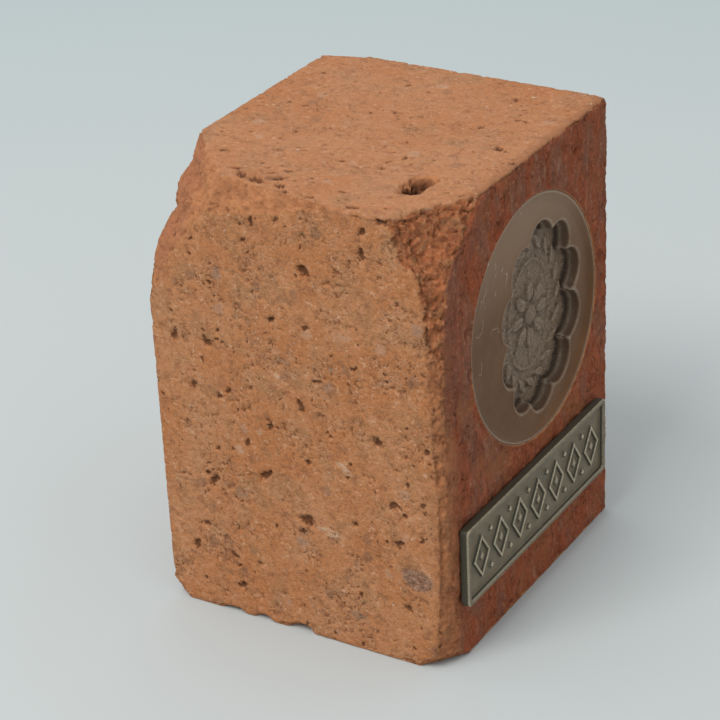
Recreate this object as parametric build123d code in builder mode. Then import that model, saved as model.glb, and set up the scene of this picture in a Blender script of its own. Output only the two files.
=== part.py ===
"""A piece sawn from an old fired brick, kept as a keepsake.

The piece stands on a sawn end. Its moulded face looks along +X and carries a medallion, set in a shallow
pocket, and a small cast plate below it. The sawn face looks along -Y. The origin is the middle of the base,
+Z is up, and every size is in millimetres.
"""

import os
from math import atan2, copysign, cos, degrees, radians, sin

from build123d import *

# The block: thickness of the old brick, length left between the saw cuts, and width of the old brick
block_thickness = 68.0
block_length = 74.0
block_height = 100.0
arris_radius = 0.6  # sawn edges, eased by handling

# The broken corner at the top, left of the sawn face. Each row gives a drop below the top, how wide the loss
# is on the sawn face and on the side face, and how deep it bites behind the straight line between the two
corner_break = [
    (0.0, 22.0, 22.3, -1.5),
    (3.0, 18.6, 19.7, -1.1),
    (5.3, 16.4, 18.3, -0.6),
    (6.6, 15.0, 13.8, -0.4),
    (9.4, 12.2, 12.0, -0.3),
    (12.6, 9.6, 11.7, -0.3),
    (13.3, 9.0, 9.6, -0.4),
    (16.8, 6.0, 4.9, -0.4),
    (20.1, 4.2, 2.7, -0.2),
    (25.0, 1.6, 1.0, 0.1),
    (29.0, 0.4, 0.3, 0.1),
]

# The worn top edge of the sawn face, cut by one shallow slope
worn_edge_start = 14.0  # from the side face
worn_edge_deepest = 25.0
worn_edge_end = 48.0
worn_edge_back = 4.5  # how far it reaches back on the top at its start
worn_edge_drop = 4.5  # how far it reaches down the sawn face where it is deepest

# Small corners lost: along the sawn or back face, along the side or moulded face, and up or down
back_chip = (12.0, 3.2, 4.0)
foot_chip_left = (3.6, 3.4, 4.2)
foot_chip_right = (7.0, 9.5, 4.6)

# The spalled arris between the sawn face and the moulded face: rows as above, first by height, then by drop
spall_above_base = [
    (0.0, 3.0, 6.5, 0.1),
    (9.0, 2.0, 4.6, 0.1),
    (22.0, 1.3, 2.9, 0.3),
    (40.0, 1.0, 1.6, 0.2),
    (56.0, 1.6, 1.5, 0.3),
]
spall_below_top = [
    (27.0, 2.0, 1.7, 0.4),
    (19.5, 3.0, 2.6, 0.6),
    (11.5, 4.0, 5.2, 0.9),
    (7.0, 8.4, 9.0, 1.0),
    (0.0, 10.2, 17.6, 0.5),
]
run_out = 1.0  # a cut runs past the base, the top and the faces by this much

# Pits and nicks that are deep enough to see as holes
pit_across = 13.5  # middle of the large pit in the top, from the moulded face
pit_back = 17.1  # the same point, back from the sawn face
pit_radius = 2.6
pit_depth = 1.7
pit_spread = 2.2  # half the distance between its two hollows
pit_angle = 84.0  # of the line through both, from the side face towards the moulded face
nicks = [(15.4, 7.0, 0.9), (22.9, 2.6, 1.1), (32.2, 3.2, 1.6)]  # from the side face, radius, height reached

# The medallion and its pocket: a slight oval that leans over the plate
medallion_long_radius = 28.9
medallion_short_radius = 26.3
medallion_lean = 136.4  # of the long axis, from the level line that runs away from the sawn face
medallion_aside = 3.2  # from the middle of the moulded face, away from the sawn face
medallion_drop = 2.35  # below the middle of the space over the plate
medallion_clearance = 0.12  # in the pocket, all round
pocket_depth = 6.0
lip_below_face = 0.15
lip_width = 0.35
margin_below_face = 1.1
margin_run_up = 1.7  # width of the slope from the margin to the lip

# The sunk field of the medallion: a scalloped oval
field_half_width = 12.6  # of the oval that the lobes' middles lie on
field_half_height = 16.1
field_aside = 4.6  # from the middle of the medallion, away from the sawn face
field_drop = 1.9
field_depth = 2.6
lobe_count = 10
lobe_radius = 5.4

# The relief in the sunk field: a rosette, an oval line round it, and a wreath of leaves
petal_count = 8
petal_length = 5.4
petal_width = 3.2
petal_inner_radius = 2.6
petal_height = 0.8
boss_radius = 2.4
boss_height = 1.3
oval_half_width = 9.0
oval_half_height = 12.2
oval_line = 0.9
oval_height = 0.6
leaf_count = 20
leaf_length = 5.2
leaf_width = 2.1
leaf_half_width = 12.4  # of the oval that the leaves' middles lie on
leaf_half_height = 15.8
leaf_turn = 38.0  # of each leaf, from the line it follows
leaf_height = 0.7

# The plate under the medallion
plate_length = 63.2
plate_height = 17.9
plate_thickness = 2.0
plate_above_base = 13.6
plate_aside = 0.3  # from the middle of the moulded face, away from the sawn face
plate_corner_radius = 0.9
rim_width = 1.05
rim_inner_radius = 0.4
plate_field_depth = 1.0
edge_easing = 0.2

# The raised band on the plate: lozenge frames with a stud in each, and pairs of small studs between them
lozenge_count = 7
lozenge_pitch = 8.4
lozenge_length = 7.2
lozenge_height = 10.4
lozenge_line = 1.0
stud_length = 1.9
stud_height = 2.8
pair_stud_size = 1.7
pair_stud_spacing = 8.8
ornament_height = 0.75

# Faces and places worked out from the sizes above
moulded_x = block_thickness / 2
side_x = -moulded_x
sawn_y = -block_length / 2
back_y = -sawn_y
plate_top = plate_above_base + plate_height
medallion_height = (plate_top + block_height) / 2 - medallion_drop
pocket_floor_x = moulded_x - pocket_depth
margin_x = moulded_x - margin_below_face
block_middle = Vector(0, 0, block_height / 2)


def facing_out(at_x, at_y, at_z):
    """A plane parallel to the moulded face: its X runs away from the sawn face and its Y runs up."""
    return Plane(origin=(at_x, at_y, at_z), x_dir=(0, 1, 0), z_dir=(1, 0, 0))


def fracture(first, second, third):
    """The plane through three points of a broken surface, facing away from the middle of the block."""
    a, b, c = Vector(*first), Vector(*second), Vector(*third)
    outward = (b - a).cross(c - a)
    if outward.dot(a - block_middle) < 0:
        outward = -outward
    return Plane(origin=a, z_dir=outward)


def chip(corner, losses):
    """The plane of a break across a corner of the block, from its loss along each of its three edges."""
    points = [list(corner) for _ in losses]
    for edge, loss in enumerate(losses):
        points[edge][edge] += copysign(loss, list(block_middle)[edge] - corner[edge])
    return fracture(*points)


def lost_outline(edge_x, on_sawn_face, on_next_face, bite):
    """The part of a level section lost from the upright edge at edge_x, as corners that run round it."""
    inner = copysign(1, -edge_x)
    sawn_point = Vector(edge_x + inner * on_sawn_face, sawn_y)
    next_point = Vector(edge_x, sawn_y + on_next_face)
    inward = Vector(inner * on_next_face, on_sawn_face).normalized()
    between = (sawn_point + next_point) / 2 + inward * bite
    return [
        (sawn_point.X, sawn_y - run_out),
        (sawn_point.X, sawn_point.Y),
        (between.X, between.Y),
        (next_point.X, next_point.Y),
        (edge_x - inner * run_out, next_point.Y),
        (edge_x - inner * run_out, sawn_y - run_out),
    ]


def oval(inset):
    """The outline of the medallion, drawn inside the pocket's by an equal inset all round."""
    return Ellipse(medallion_long_radius - inset, medallion_short_radius - inset, rotation=medallion_lean)


def lozenge(length, height, mode=Mode.ADD):
    """A lozenge that stands on its point."""
    return Polygon((length / 2, 0), (0, height / 2), (-length / 2, 0), (0, -height / 2), mode=mode)


# Every station of the two long breaks as a height above the base, run out past the top and the base
break_stations = [(block_height - drop, *widths) for drop, *widths in corner_break]
break_stations.insert(0, (block_height + run_out, *corner_break[0][1:]))
spall_stations = [(-run_out, *spall_above_base[0][1:]), *spall_above_base]
spall_stations += [(block_height - drop, *widths) for drop, *widths in spall_below_top]
spall_stations.append((block_height + run_out, *spall_below_top[-1][1:]))

# Fired clay block
with BuildPart() as brick_block:
    with BuildSketch():
        Rectangle(block_thickness, block_length)
    extrude(amount=block_height)
    fillet(brick_block.edges(), arris_radius)

    # The worn top edge and the small corners lost
    broken_planes = [
        fracture(
            (side_x + worn_edge_start, sawn_y + worn_edge_back, block_height),
            (side_x + worn_edge_end, sawn_y, block_height),
            (side_x + worn_edge_deepest, sawn_y, block_height - worn_edge_drop),
        ),
        chip((side_x, back_y, block_height), back_chip),
        chip((side_x, sawn_y, 0), foot_chip_left),
        chip((moulded_x, sawn_y, 0), foot_chip_right),
    ]
    for broken_plane in broken_planes:
        split(bisect_by=broken_plane, keep=Keep.BOTTOM)

    # The broken corner and the spalled arris, each a ruled cut through all its stations
    for edge_x, stations in ((side_x, break_stations), (moulded_x, spall_stations)):
        for height, on_sawn_face, on_next_face, bite in stations:
            with BuildSketch(Plane.XY.offset(height)):
                Polygon(*lost_outline(edge_x, on_sawn_face, on_next_face, bite), align=None)
        loft(ruled=True, mode=Mode.SUBTRACT)

    # The large pit in the top: two shallow hollows side by side
    pit_centre = Location((moulded_x - pit_across, sawn_y + pit_back, block_height - pit_depth + pit_radius))
    with Locations(pit_centre):
        with Locations(
            (pit_spread * cos(radians(pit_angle)), pit_spread * sin(radians(pit_angle)), 0),
            (-pit_spread * cos(radians(pit_angle)), -pit_spread * sin(radians(pit_angle)), 0),
        ):
            Sphere(pit_radius, mode=Mode.SUBTRACT)

    # Nicks in the lower edge of the sawn face
    for place, radius, height in nicks:
        with Locations((side_x + place, sawn_y, height - radius)):
            Sphere(radius, mode=Mode.SUBTRACT)

    # The blind pocket that holds the medallion
    with BuildSketch(facing_out(moulded_x, medallion_aside, medallion_height)):
        oval(0)
    extrude(amount=-pocket_depth, mode=Mode.SUBTRACT)

# Cast medallion: a slightly oval disc with a dished margin, then the scalloped field and its relief
with BuildPart() as medallion:
    medallion_back = facing_out(pocket_floor_x, medallion_aside, medallion_height)
    with BuildSketch(medallion_back):
        oval(medallion_clearance)
    extrude(amount=pocket_depth - lip_below_face)
    lip_inset = medallion_clearance + lip_width
    with BuildSketch(medallion_back.offset(pocket_depth - lip_below_face)):
        oval(lip_inset)
    with BuildSketch(medallion_back.offset(pocket_depth - margin_below_face)):
        oval(lip_inset + margin_run_up)
    loft(mode=Mode.SUBTRACT)

    field_plane = facing_out(margin_x, medallion_aside + field_aside, medallion_height - field_drop)
    with BuildSketch(field_plane):
        Ellipse(field_half_width, field_half_height)
        lobe_angles = [radians(360 * (lobe + 0.5) / lobe_count) for lobe in range(lobe_count)]
        with Locations(*[(field_half_width * cos(a), field_half_height * sin(a)) for a in lobe_angles]):
            Circle(lobe_radius)
    extrude(amount=-field_depth, mode=Mode.SUBTRACT)

    field_floor = field_plane.offset(-field_depth)
    with BuildSketch(field_floor):
        with PolarLocations(petal_inner_radius + petal_length / 2, petal_count):
            Ellipse(petal_length / 2, petal_width / 2)
    extrude(amount=petal_height)
    with BuildSketch(field_floor):
        Ellipse(oval_half_width + oval_line / 2, oval_half_height + oval_line / 2)
        Ellipse(oval_half_width - oval_line / 2, oval_half_height - oval_line / 2, mode=Mode.SUBTRACT)
    extrude(amount=oval_height)
    with BuildSketch(field_floor):
        Circle(boss_radius)
    extrude(amount=boss_height)

    # The wreath: pointed leaves that follow an oval, each turned outwards from it
    leaf_places = []
    for leaf in range(leaf_count):
        a = radians(360 * leaf / leaf_count)
        along = degrees(atan2(leaf_half_height * cos(a), -leaf_half_width * sin(a)))
        leaf_places.append(
            Location((leaf_half_width * cos(a), leaf_half_height * sin(a), 0), (0, 0, along - leaf_turn))
        )
    with BuildSketch(field_floor):
        with Locations(*leaf_places):
            tip = leaf_length / 2
            shoulder = leaf_length / 6
            side = leaf_width / 2
            upper_line = [(tip, 0), (shoulder, side), (-shoulder, side)]
            Polygon(*upper_line, *[(-x, -y) for x, y in upper_line])
    extrude(amount=leaf_height)

# Cast plate: a rimmed field with a raised band of lozenges and studs
with BuildPart() as name_plate:
    plate_back = facing_out(moulded_x, plate_aside, plate_above_base + plate_height / 2)
    plate_front = plate_back.offset(plate_thickness)
    with BuildSketch(plate_back):
        RectangleRounded(plate_length, plate_height, plate_corner_radius)
    extrude(amount=plate_thickness)
    fillet(name_plate.faces().sort_by(Axis.X)[-1].edges(), edge_easing)
    with BuildSketch(plate_front):
        RectangleRounded(plate_length - 2 * rim_width, plate_height - 2 * rim_width, rim_inner_radius)
    extrude(amount=-plate_field_depth, mode=Mode.SUBTRACT)
    with BuildSketch(plate_front.offset(-plate_field_depth)):
        with GridLocations(lozenge_pitch, 0, lozenge_count, 1):
            inner_share = 1 - 2 * lozenge_line / lozenge_length
            lozenge(lozenge_length, lozenge_height)
            inner_length = lozenge_length * inner_share
            lozenge(inner_length, lozenge_height * inner_share, mode=Mode.SUBTRACT)
            lozenge(stud_length, stud_height)
        with GridLocations(lozenge_pitch, pair_stud_spacing, lozenge_count - 1, 2):
            lozenge(pair_stud_size, pair_stud_size)
    extrude(amount=ornament_height)

brick_block.part.label = "brick_block"
medallion.part.label = "medallion"
name_plate.part.label = "name_plate"

os.makedirs("parts", exist_ok=True)
export_step(brick_block.part, "parts/brick_block.step")
export_step(medallion.part, "parts/medallion.step")
export_step(name_plate.part, "parts/name_plate.step")
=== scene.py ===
from functools import partial, reduce
from math import cos, pi, radians, sin

import bmesh
import bpy
import numpy as np
from mathutils import Matrix, Vector


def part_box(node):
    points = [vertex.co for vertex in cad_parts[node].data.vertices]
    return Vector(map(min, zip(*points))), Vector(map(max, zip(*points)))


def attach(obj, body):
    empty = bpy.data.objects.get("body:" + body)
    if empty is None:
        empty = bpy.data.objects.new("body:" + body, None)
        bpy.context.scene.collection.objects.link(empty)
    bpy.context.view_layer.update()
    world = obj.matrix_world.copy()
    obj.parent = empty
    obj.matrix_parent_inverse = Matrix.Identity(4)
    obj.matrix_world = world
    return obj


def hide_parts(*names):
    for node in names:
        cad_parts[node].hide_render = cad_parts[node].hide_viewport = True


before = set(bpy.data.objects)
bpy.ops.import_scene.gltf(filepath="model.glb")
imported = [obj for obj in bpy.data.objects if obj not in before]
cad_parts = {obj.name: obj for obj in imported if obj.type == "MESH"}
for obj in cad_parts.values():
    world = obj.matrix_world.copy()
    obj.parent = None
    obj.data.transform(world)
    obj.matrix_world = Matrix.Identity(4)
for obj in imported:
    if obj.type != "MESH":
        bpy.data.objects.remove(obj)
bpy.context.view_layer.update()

# The stand: a pale sheet on a table, a paler room of soft light, and the camera at the photograph's viewing
# angle. None of it is part of the object. The camera looks down on the corner between the sawn face and the
# moulded face.
mm = 0.001
view_azimuth = radians(31.927)
view_elevation = radians(27.516)
view_roll = radians(-2.727)
view_distance = 522.6 * mm
view_centre = Vector((0.0, 0.0, 50.0 * mm))
view_aside = 5.77 * mm
view_above = 2.15 * mm
lens_mm = 123.0
sensor_mm = 36.0
room_colour = (0.86, 0.88, 0.885, 1.0)
room_strength = 0.85
floor_size = 6.0
floor_near, floor_far = (0.510, 0.549, 0.557), (0.441, 0.532, 0.540)
window_size = 0.8
window_watts = 15.8
window_colour = (1.0, 0.972, 0.935)
window_azimuth, window_elevation = radians(-12), radians(54)
window_distance = 1.6


def direction(azimuth, elevation):
    """The way out from the middle at these angles, with azimuth 0 on the side of the sawn face."""
    return Vector((sin(azimuth) * cos(elevation), -cos(azimuth) * cos(elevation), sin(elevation)))


back = direction(view_azimuth, view_elevation)
level_right = Vector((cos(view_azimuth), sin(view_azimuth), 0.0))
level_up = back.cross(level_right)
right = level_right * cos(view_roll) + level_up * sin(view_roll)
up = level_up * cos(view_roll) - level_right * sin(view_roll)

camera_data = bpy.data.cameras.new("camera")
camera_data.lens = lens_mm
camera_data.sensor_width = sensor_mm
camera_data.clip_start = 0.02
camera_data.clip_end = 20.0
camera = bpy.data.objects.new("camera", camera_data)
bpy.context.collection.objects.link(camera)
view_from = view_centre - right * view_aside - up * view_above + back * view_distance
camera.matrix_world = Matrix.Translation(view_from) @ Matrix((right, up, back)).transposed().to_4x4()
bpy.context.scene.camera = camera
bpy.context.scene.view_settings.view_transform = "Standard"


def wired(made, wires):
    """Sets or links a node's inputs, which are named or numbered."""
    for socket, value in wires.items():
        if isinstance(value, bpy.types.NodeSocket):
            made.id_data.links.new(value, made.inputs[socket])
        else:
            made.inputs[socket].default_value = value
    return made


def node_in(tree, kind, wires=None, **settings):
    """Adds a node to a tree, sets its options, then sets or links its inputs."""
    made = tree.nodes.new(kind)
    for option, value in settings.items():
        setattr(made, option, value)
    return wired(made, wires or {})


def node(kind, wires, **settings):
    """Adds a node to the tree of the sockets that it is wired to."""
    tree = next(value.id_data for value in wires.values() if isinstance(value, bpy.types.NodeSocket))
    return node_in(tree, kind, wires, **settings)


def maths(operation, *values):
    """The result of one Math node on one, two or three sockets or numbers."""
    return node("ShaderNodeMath", dict(enumerate(values)), operation=operation).outputs[0]


def vectors(operation, *values):
    """The result of one Vector Math node, which for a length or a dot product is a number."""
    made = node("ShaderNodeVectorMath", dict(enumerate(values)), operation=operation)
    return made.outputs["Value" if operation in ("LENGTH", "DOT_PRODUCT") else "Vector"]


def ramp(value, low, high, to_low=0.0, to_high=1.0):
    """A smooth step from one value to another as the input goes from low to high."""
    wires = {"Value": value, "From Min": low, "From Max": high, "To Min": to_low, "To Max": to_high}
    return node("ShaderNodeMapRange", wires, interpolation_type="SMOOTHSTEP").outputs["Result"]


def scaled(vector, by):
    """A vector times a number, or times another vector."""
    if isinstance(by, tuple):
        return vectors("MULTIPLY", vector, by)
    return node("ShaderNodeVectorMath", {0: vector, "Scale": by}, operation="SCALE").outputs[0]


def noise_of(where, scale, detail=3.0, roughness=0.55, output=0):
    """A noise texture's value, or its colour with output 1, at a point."""
    wires = {"Vector": where, "Scale": scale, "Detail": detail, "Roughness": roughness}
    return node("ShaderNodeTexNoise", wires).outputs[output]


def shifted(where, scale, by):
    """A point moved by noise, up to about half of the distance given, so that outlines wander."""
    wander = vectors("SUBTRACT", noise_of(where, scale, 2.0, output=1), (0.5, 0.5, 0.5))
    return vectors("ADD", where, scaled(wander, by))


def mixed(share, first, second):
    """A colour between two others, each a socket or a row of red, green and blue."""
    wires = {0: share}
    for socket, colour in ((6, first), (7, second)):
        wires[socket] = (*colour, 1.0) if isinstance(colour, tuple) else colour
    return node("ShaderNodeMix", wires, data_type="RGBA").outputs[2]


def new_material(name):
    """A material with its node tree and its Principled shader."""
    material = bpy.data.materials.new(name)
    material.use_nodes = True
    return material, material.node_tree, material.node_tree.nodes["Principled BSDF"]


def mesh_object(name, vertices, faces, linked=True):
    """A mesh object from rows of corners and faces."""
    mesh = bpy.data.meshes.new(name)
    corners = [tuple(map(float, corner)) for corner in vertices]
    mesh.from_pydata(corners, [], [tuple(map(int, face)) for face in faces])
    mesh.update()
    made = bpy.data.objects.new(name, mesh)
    if linked:
        bpy.context.collection.objects.link(made)
    return made


half = floor_size / 2
floor_corners = [(-half, -half, 0), (half, -half, 0), (half, half, 0), (-half, half, 0)]
floor = mesh_object("floor", floor_corners, [(0, 1, 2, 3)])
sheet_material, tree, shader = new_material("pale_sheet")
distance = vectors("LENGTH", node_in(tree, "ShaderNodeTexCoord").outputs["Object"])
tint = mixed(ramp(distance, 0.15, 0.6), floor_near, floor_far)
wired(shader, {"Base Color": tint, "Roughness": 0.85, "Specular IOR Level": 0.2})
floor.data.materials.append(sheet_material)

world = bpy.data.worlds.new("soft_room")
world.use_nodes = True
room_wires = {"Color": room_colour, "Strength": room_strength}
wired(world.node_tree.nodes["Background"], room_wires)
bpy.context.scene.world = world

window_data = bpy.data.lights.new("window", "AREA")
window_data.size = window_size
window_data.energy = window_watts
window_data.color = window_colour
window = bpy.data.objects.new("window", window_data)
bpy.context.collection.objects.link(window)
away = direction(window_azimuth, window_elevation)
window.location = view_centre + away * window_distance
window.rotation_mode = "QUATERNION"
window.rotation_quaternion = away.to_track_quat("Z", "Y")

# The brick: one piece of old moulded clay, fired right through and sawn square. The sawn faces are open and
# full of pores and grit, the moulded face keeps its darker skin, and the broken corner and arris are rough.
# Its mesh is the solid's, remeshed finely, then worn, broken up and pitted, always inwards.
brick_voxel = 0.34 * mm
brick_triangles = 196000
moulded_x = 34.0
sawn_y = -37.0
brick_height = 100.0
pocket_centre = (3.2, 63.4)  # across and up on the moulded face, in mm
pocket_long, pocket_short = 28.9, 26.3
pocket_lean = radians(136.4)
top_pit = (20.5, -19.9)  # the solid's own pit in the top
top_pit_depth = 1.6
top_pit_half_length, top_pit_half_width = 4.3, 2.6
burnt_stone = (27.4, sawn_y, 20.9)
cream = (0.62, 0.40, 0.26)
pale_grog = (0.55, 0.31, 0.19)
grey_stone = (0.31, 0.195, 0.125)
brown_grog = (0.32, 0.135, 0.066)

# The pores that catch the eye, on the sawn face and on the top: middle, half length, half width and lean.
# The crumbs in the sawn face that catch the eye have a colour as well.
sawn_pores = [
    (3.9, 85.1, 1.9, 1.3, 113), (17.2, 91.4, 1.9, 1.0, 75), (1.3, 28.1, 2.3, 1.2, 166),
    (-8.1, 36.3, 2.3, 1.0, 36), (-21.3, 31.7, 2.0, 0.9, 64), (23.4, 28.5, 1.6, 0.8, 17),
    (-6.2, 48.1, 1.7, 0.8, 64), (-20.2, 64.4, 1.4, 1.0, 13), (-26.8, 14.8, 1.6, 0.9, 66),
    (-16.2, 7.2, 2.1, 0.8, 22), (-4.4, 72.9, 1.3, 0.9, 18), (-24.4, 20.6, 1.8, 0.7, 18),
    (17.6, 96.2, 1.4, 0.9, 45), (22.7, 37.2, 1.6, 0.8, 169), (-24.3, 53.7, 1.1, 0.8, 42),
    (-7.5, 93.5, 1.5, 0.6, 86), (-28.4, 64.3, 1.3, 0.8, 77), (-12.1, 43.0, 1.6, 0.7, 80),
    (25.0, 13.6, 1.3, 0.7, 140), (-10.1, 89.2, 0.8, 0.7, 0), (3.7, 72.9, 1.3, 0.6, 20),
    (1.5, 55.0, 1.7, 0.8, 100), (-17.2, 14.3, 1.4, 0.7, 153), (28.6, 30.5, 1.2, 0.6, 70),
]
top_pores = [
    (-9.9, -30.6, 3.0, 1.5, 150), (-6.0, -28.4, 2.3, 1.3, 20), (10.2, -15.7, 1.0, 0.8, 0),
    (-13.4, -30.0, 1.9, 1.2, 130), (-3.6, -31.4, 1.7, 1.1, 100), (-8.6, -27.0, 1.5, 0.8, 30),
    (-16.4, -27.6, 1.4, 0.8, 30), (-1.2, -33.6, 1.3, 0.8, 160), (4.4, -33.8, 1.5, 0.8, 20),
    (14.6, -34.4, 1.6, 0.9, 10), (-23.6, -21.1, 1.2, 0.7, 60), (-21.0, 6.4, 1.2, 0.6, 30),
    (9.2, -28.7, 1.4, 0.5, 0), (-8.8, -14.7, 1.5, 0.5, 20),
]
sawn_crumbs = [
    (6.7, 26.7, 3.4, 0.9, -7, cream), (11.1, 42.8, 2.3, 0.9, -34, cream), (-3.8, 60.5, 0.9, 0.7, 0, cream),
    (-25.9, 42.2, 1.0, 0.6, -30, cream), (-0.2, 47.2, 0.7, 0.3, 0, cream),
    (-14.1, 41.0, 1.4, 1.1, 0, pale_grog), (-14.1, 30.7, 1.8, 1.5, 0, grey_stone),
    (-18.6, 13.9, 2.7, 2.3, 20, brown_grog), (-2.3, 64.2, 1.7, 0.6, 0, grey_stone),
    (9.3, 65.0, 0.9, 0.8, 0, grey_stone), (12.9, 8.3, 2.2, 0.9, -10, grey_stone),
    (-9.6, 85.0, 2.2, 1.4, 40, brown_grog),
]


def copied_mesh(cad_node, name):
    """A CAD node's mesh with its doubled vertices merged, as a new object."""
    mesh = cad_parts[cad_node].data.copy()
    mesh.name = name
    mesh.materials.clear()
    edit = bmesh.new()
    edit.from_mesh(mesh)
    bmesh.ops.remove_doubles(edit, verts=edit.verts, dist=1e-6)
    edit.to_mesh(mesh)
    edit.free()
    copy = bpy.data.objects.new(name, mesh)
    bpy.context.collection.objects.link(copy)
    return copy


def settle(piece):
    """Turns what the modifiers make into the piece's own plain mesh, and removes them."""
    graph = bpy.context.evaluated_depsgraph_get()
    shown = piece.evaluated_get(graph)
    made = bpy.data.meshes.new_from_object(shown, preserve_all_data_layers=True, depsgraph=graph)
    piece.modifiers.clear()
    piece.data = made
    return piece


def remeshed(piece, voxel):
    """Gives the piece an even mesh of small squares."""
    remesh = piece.modifiers.new("even_mesh", "REMESH")
    remesh.mode = "VOXEL"
    remesh.voxel_size = voxel
    return settle(piece)


def thinned(piece, triangles):
    """Merges the mesh where it is flat until about this many triangles are left."""
    piece.data.calc_loop_triangles()
    thin = piece.modifiers.new("thin", "DECIMATE")
    thin.ratio = min(1.0, triangles / len(piece.data.loop_triangles))
    return settle(piece)


def mesh_tree(name, sizes):
    """A geometry node tree with a mesh going in and out, and one named number input for each size in it."""
    tree = bpy.data.node_groups.new(name, "GeometryNodeTree")
    tree.interface.new_socket("Geometry", in_out="INPUT", socket_type="NodeSocketGeometry")
    tree.interface.new_socket("Geometry", in_out="OUTPUT", socket_type="NodeSocketGeometry")
    for label, value in sizes.items():
        kind = "NodeSocketInt" if isinstance(value, int) else "NodeSocketFloat"
        tree.interface.new_socket(label, in_out="INPUT", socket_type=kind).default_value = value
    return tree, tree.nodes.new("NodeGroupInput").outputs, tree.nodes.new("NodeGroupOutput").inputs


def with_tree(piece, tree, sizes):
    """Puts the tree on the piece, with its inputs set by the sockets' identifiers."""
    modifier = piece.modifiers.new(tree.name, "NODES")
    modifier.node_group = tree
    for item in tree.interface.items_tree:
        if item.in_out == "INPUT" and item.name in sizes:
            modifier[item.identifier] = sizes[item.name]
    return settle(piece)


def stored(mesh, name, value, kind="FLOAT"):
    """The mesh with one more attribute on its points."""
    wires = {"Geometry": mesh, "Name": name, "Value": value}
    return node("GeometryNodeStoreNamedAttribute", wires, data_type=kind).outputs[0]


def blurred(value, iterations, kind="FLOAT"):
    """A value evened out over the mesh."""
    wires = {"Value": value, "Iterations": iterations}
    return node("GeometryNodeBlurAttribute", wires, data_type=kind).outputs[0]


def product(*values):
    """All the values multiplied together."""
    return reduce(partial(maths, "MULTIPLY"), values)


def total(*values):
    """All the values added together."""
    return reduce(partial(maths, "ADD"), values)


def highest(*values):
    """The highest of the values."""
    return reduce(partial(maths, "MAXIMUM"), values)


def linear(value, times, plus):
    """A value times one number or value, plus another."""
    return maths("MULTIPLY_ADD", value, times, plus)


def split(vector):
    """The three numbers in a vector."""
    return list(node("ShaderNodeSeparateXYZ", {0: vector}).outputs)


def carried(tree, name, kind="FLOAT"):
    """An attribute that the mesh carries, read in a geometry tree."""
    return node_in(tree, "GeometryNodeInputNamedAttribute", {"Name": name}, data_type=kind).outputs[0]


def painted(tree, name, output="Fac"):
    """An attribute that the mesh carries, read in a material."""
    return node_in(tree, "ShaderNodeAttribute", attribute_name=name).outputs[output]


def washed(colour, washes):
    """A colour under washes of others, each where its value runs from low to high, up to the share given."""
    for value, low, high, most, over, *limits in washes:
        share = product(ramp(value, low, high, 0.0, most), *limits)
        colour = mixed(share, colour, over)
    return colour


def bumped(height, strength, depth):
    """The shading of a fine relief, whose depth is in mm."""
    wires = {"Height": height, "Strength": strength, "Distance": depth * mm}
    return node("ShaderNodeBump", wires).outputs[0]


def torn_clay(place):
    """Where patches of the sawn clay are torn, and a fractal that runs high in crevices and low on crumbs."""
    patch = ramp(noise_of(place, 0.15, 3.0, 0.6), 0.48, 0.66)
    torn = noise_of(shifted(place, 0.6, 1.6), 1.0, 6.0, 0.66)
    return patch, torn


def pits_from(tree, points, warped, ragged):
    """How deep the pit round the nearest point is at a place, and how far inside that pit the place lies."""
    wires = {"Geometry": points, "Sample Position": warped}
    nearest = node("GeometryNodeSampleNearest", wires).outputs[0]

    def of_nearest(value, kind="FLOAT"):
        wires = {"Geometry": points, "Value": value, "Index": nearest}
        return node("GeometryNodeSampleIndex", wires, data_type=kind).outputs[0]

    centre = of_nearest(node_in(tree, "GeometryNodeInputPosition").outputs[0], "FLOAT_VECTOR")
    radius, stretch = of_nearest(carried(tree, "radius")), of_nearest(carried(tree, "stretch"))
    long_way = of_nearest(carried(tree, "long_way", "FLOAT_VECTOR"), "FLOAT_VECTOR")
    offset = vectors("SUBTRACT", warped, centre)
    along = vectors("DOT_PRODUCT", offset, long_way)
    whole = vectors("LENGTH", offset)
    squared = maths("SUBTRACT", product(whole, whole), product(along, along, stretch))
    share = maths("DIVIDE", maths("SQRT", highest(squared, 0.0)), radius)
    inside = ramp(total(share, ragged), 0.45, 1.05, 1.0, 0.0)
    return product(inside, radius), inside


def strewn_pits(tree, mesh, warped, ragged, density, smallest, largest, seed):
    """Pits strewn over a mesh, most of them small."""
    wires = {"Mesh": mesh, "Density": density, "Seed": seed}
    points = node("GeometryNodeDistributePointsOnFaces", wires).outputs["Points"]
    wires = {2: 0.0, 3: 1.0, "Seed": seed}
    size = node_in(tree, "FunctionNodeRandomValue", wires, data_type="FLOAT").outputs[1]
    radius = linear(maths("POWER", size, 2.5), (largest - smallest) * mm, smallest * mm)
    points = stored(points, "radius", radius)
    points = stored(points, "stretch", product(size, 0.75))
    wires = {0: (-1.0, -1.0, -1.0), 1: (1.0, 1.0, 1.0), "Seed": seed}
    way = node_in(tree, "FunctionNodeRandomValue", wires, data_type="FLOAT_VECTOR").outputs[0]
    points = stored(points, "long_way", vectors("NORMALIZE", way), "FLOAT_VECTOR")
    return pits_from(tree, points, warped, ragged)


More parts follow.
